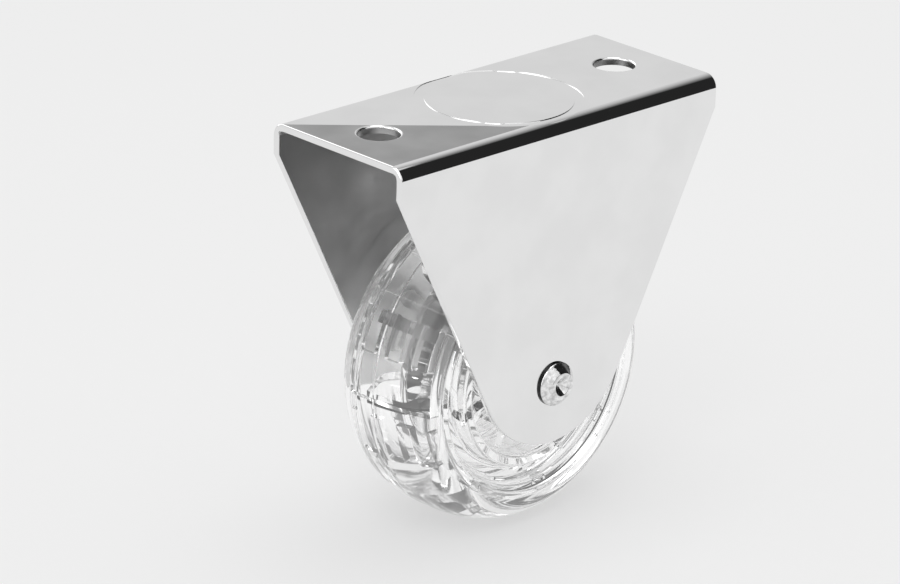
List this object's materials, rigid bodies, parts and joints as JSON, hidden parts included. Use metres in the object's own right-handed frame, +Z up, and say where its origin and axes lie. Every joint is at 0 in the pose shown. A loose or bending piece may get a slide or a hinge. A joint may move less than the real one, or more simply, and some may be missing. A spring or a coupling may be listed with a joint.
{
  "type": "fixed castor",
  "caption": "Fixed furniture castor: a clear twin-moulded wheel riveted in a bent chrome fork with tapered cheeks and a flat screw plate.",
  "frame": {"origin": "centre of the screw plate's top face, midway between the two screw holes", "axes": "+Z up out of the plate towards the furniture, X along the plate and the way the wheel rolls, Y along the axle with the clinched rivet end at -Y"},
  "size_m": [0.067, 0.0315, 0.0675],
  "materials": {
    "fork_plating": "bright nickel-chrome plating on bent steel sheet",
    "rivet_plating": "bright plating, worked smooth where the end was clinched",
    "sleeve_steel": "drawn steel tube",
    "washer_nylon": "natural nylon, satin",
    "core_clear": "hard clear plastic, moulded glossy",
    "tyre_clear": "clear elastomer, moulded glossy"
  },
  "bodies": {
    "fork": {"fork_bracket": "fork_plating", "axle_rivet": "rivet_plating", "axle_sleeve": "sleeve_steel", "thrust_washer_near": "washer_nylon", "thrust_washer_far": "washer_nylon"},
    "wheel": {"wheel_core": "core_clear", "tyre": "tyre_clear"}
  },
  "joints": [
    {"name": "wheel_spin", "type": "hinge", "parent": "fork", "child": "wheel", "pos_m": [0, 0, -0.0425], "axis": [0, 1, 0], "continuous": true}
  ]
}
